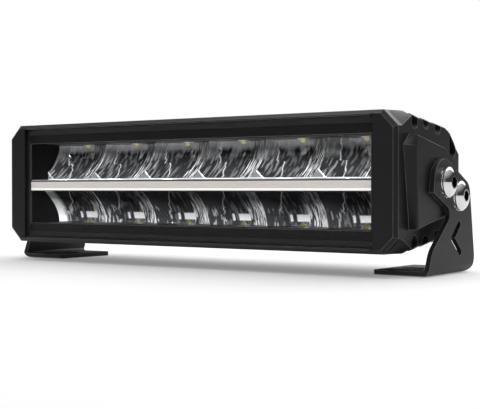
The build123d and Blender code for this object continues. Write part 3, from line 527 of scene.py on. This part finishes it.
    # painted highlights: on the flat face, its far edge and the upper lip
    flat_face = y <= low.y + 0.00001
    tone = np.where(flat_face, 0.16, tone)
    far_edge = flat_face & (u < 0) & (bowl - relief > low.y - 0.0007)
    tone = np.where(far_edge, 0.9, tone)
    lip = np.abs(z - (low.z if way > 0 else high.z)) < 0.0005
    tone = np.where(lip & (way > 0), 0.75, tone)
    tone = np.clip(tone, 0.0, 1.0)

    rows, columns = x.shape
    count = rows * columns
    front = np.column_stack([x.ravel(), y.ravel(), z.ravel()])
    back = front.copy()
    back[:, 1] = np.minimum(back[:, 1] + SHELL, high.y)
    grid = np.arange(count).reshape(rows, columns)
    quads = np.stack([grid[:-1, :-1], grid[:-1, 1:], grid[1:, 1:], grid[1:, :-1]], -1).reshape(-1, 4)
    rim = np.concatenate([grid[0, :], grid[1:, -1], grid[-1, -2::-1], grid[-2:0:-1, 0]])
    rim_next = np.roll(rim, -1)
    walls = np.stack([rim, rim + count, rim_next + count, rim_next], -1)
    faces = np.concatenate([quads, quads[:, ::-1] + count, walls])
    mesh = bpy.data.meshes.new(name)
    mesh.from_pydata(np.concatenate([front, back]).tolist(), [], faces.tolist())
    shade = mesh.attributes.new("tone", "FLOAT", "POINT")
    shade.data.foreach_set("value", np.concatenate([tone.ravel(), tone.ravel() * 0.3]).astype(np.float32))
    mesh.polygons.foreach_set("use_smooth", np.arange(len(faces)) < len(quads))
    mesh.validate()
    tray = bpy.data.objects.new(name, mesh)
    SCENE.collection.objects.link(tray)
    mesh.materials.append(mirror_metal)
    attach(tray, "lamp")
    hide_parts(node)
    return tray


trays = [
    reflector("faceted_reflector_upper", "reflector_upper", 1),
    reflector("faceted_reflector_lower", "reflector_lower", -1),
]


# ------------------------------------------------------------------ soft edges on the solid parts
def soften(node, width, segments=3, angle=28.0):
    """Rounds the hard edges of a CAD node with modifiers, leaving its own mesh as it is."""
    piece = NODES[node]
    weld = piece.modifiers.new("weld", "WELD")
    weld.merge_threshold = 0.000002
    flat = piece.modifiers.new("flat", "DECIMATE")
    flat.decimate_type = "DISSOLVE"
    flat.angle_limit = math.radians(0.6)
    bevel = piece.modifiers.new("bevel", "BEVEL")
    bevel.width = width
    bevel.segments = segments
    bevel.limit_method = "ANGLE"
    bevel.angle_limit = math.radians(angle)
    bevel.use_clamp_overlap = True
    even = piece.modifiers.new("even", "WEIGHTED_NORMAL")
    even.mode = "FACE_AREA"
    even.weight = 80
    for polygon in piece.data.polygons:
        polygon.use_smooth = True


for side in ("left", "right"):
    soften(f"end_cap_{side}", 0.0009)
    soften(f"bracket_{side}", 0.0006)
soften("housing_extrusion", 0.0004, 2)

# ------------------------------------------------------------------ stage and light
floor_mesh = bpy.data.meshes.new("floor")
floor_maker = bmesh.new()
bmesh.ops.create_grid(floor_maker, x_segments=1, y_segments=1, size=30.0)
floor_maker.to_mesh(floor_mesh)
floor_maker.free()
floor = bpy.data.objects.new("floor", floor_mesh)
SCENE.collection.objects.link(floor)
floor.location = (0, 0, cad_box[0].z - 0.0002)
floor_look = Mat("floor_pale")
floor_look.set(Base_Color=(0.9, 0.9, 0.9, 1.0), Roughness=0.8, Specular_IOR_Level=0.1)
floor_away = floor_look.node("ShaderNodeVectorMath", operation="LENGTH")
floor_look.link(floor_look.coord, floor_away.inputs[0])
floor_fade = floor_look.ramp(floor_away.outputs["Value"], [(0.30, 0.24), (0.80, 1.0)])
floor_far = floor_look.node("ShaderNodeEmission")
floor_far.inputs["Strength"].default_value = 1.0
floor_mix = floor_look.node("ShaderNodeMixShader")
floor_look.link(floor_fade, floor_mix.inputs[0])
floor_look.link(floor_look.shader.outputs[0], floor_mix.inputs[1])
floor_look.link(floor_far.outputs[0], floor_mix.inputs[2])
floor_look.link(floor_mix.outputs[0], floor_look.out.inputs[0])
floor_mesh.materials.append(floor_look.mat)

FRONT_LIGHT = 0.34  # brightness of the room in front and slightly to the right
LEFT_LIGHT = 0.045  # further round to either side of it
SIDE_LIGHT = 0.05  # at the sides and behind
TOP_LIGHT = 0.7
FRONT_DIRECTION = (0.35, -0.94, 0.0)
world = bpy.data.worlds.new("studio")
SCENE.world = world
world.use_nodes = True
sky = world.node_tree
sky.nodes.clear()


def sky_node(kind, **settings):
    made = sky.nodes.new(kind)
    for key, value in settings.items():
        setattr(made, key, value)
    return made


def sky_range(source, stops):
    made = sky_node("ShaderNodeValToRGB")
    line = made.color_ramp
    while len(line.elements) < len(stops):
        line.elements.new(0.5)
    for element, (place, value) in zip(line.elements, stops):
        element.position = place
        element.color = (value, value, value, 1.0)
    sky.links.new(source, made.inputs[0])
    return made.outputs[0]


sky_out = sky_node("ShaderNodeOutputWorld")
sky_seen = sky_node("ShaderNodeBackground")
sky_seen.inputs[0].default_value = (1.0, 1.0, 1.0, 1.0)
sky_room = sky_node("ShaderNodeBackground")
sky_coord = sky_node("ShaderNodeTexCoord")
sky_split = sky_node("ShaderNodeSeparateXYZ")
sky.links.new(sky_coord.outputs["Generated"], sky_split.inputs[0])
sky_side = sky_node("ShaderNodeVectorMath", operation="DOT_PRODUCT")
sky_side.inputs[1].default_value = FRONT_DIRECTION
sky.links.new(sky_coord.outputs["Generated"], sky_side.inputs[0])
sky_half = sky_node("ShaderNodeMath", operation="MULTIPLY_ADD")
sky_half.inputs[1].default_value = 0.5
sky_half.inputs[2].default_value = 0.5
sky.links.new(sky_side.outputs["Value"], sky_half.inputs[0])
around_stops = [(0.30, SIDE_LIGHT), (0.68, SIDE_LIGHT), (0.78, LEFT_LIGHT), (0.91, FRONT_LIGHT)]
sky_around = sky_range(sky_half.outputs[0], around_stops)
sky_above = sky_range(sky_split.outputs["Z"], [(0.25, 0.0), (0.75, 1.0)])
sky_blend = sky_node("ShaderNodeMix", data_type="RGBA")
sky.links.new(sky_above, sky_blend.inputs[0])
sky.links.new(sky_around, sky_blend.inputs[6])
sky_blend.inputs[7].default_value = (TOP_LIGHT, TOP_LIGHT, TOP_LIGHT, 1.0)
sky.links.new(sky_blend.outputs[2], sky_room.inputs[0])
sky_mix = sky_node("ShaderNodeMixShader")
sky_path = sky_node("ShaderNodeLightPath")
sky.links.new(sky_path.outputs["Is Camera Ray"], sky_mix.inputs[0])
sky.links.new(sky_room.outputs[0], sky_mix.inputs[1])
sky.links.new(sky_seen.outputs[0], sky_mix.inputs[2])
sky.links.new(sky_mix.outputs[0], sky_out.inputs[0])


def softbox(name, place, target, size, power):
    data = bpy.data.lights.new(name, "AREA")
    data.shape = "RECTANGLE"
    data.size, data.size_y = size
    data.energy = power
    lamp = bpy.data.objects.new(name, data)
    SCENE.collection.objects.link(lamp)
    lamp.location = place
    lamp.rotation_euler = (Vector(target) - Vector(place)).to_track_quat("-Z", "Y").to_euler()
    return lamp


softbox("top", (0.0, 0.2, 1.4), (0, 0, 0), (2.0, 1.4), 14.0)
softbox("back", (-0.1, 1.25, 1.05), (0, 0, 0), (1.8, 1.0), 15.0)
inner = softbox("inner", (0.25, -1.2, 0.55), (0, 0, 0.053), (0.8, 0.5), 70.0)
inner_lit = bpy.data.collections.new("inner_lit")
for piece in trays:
    inner_lit.objects.link(piece)
inner.light_linking.receiver_collection = inner_lit
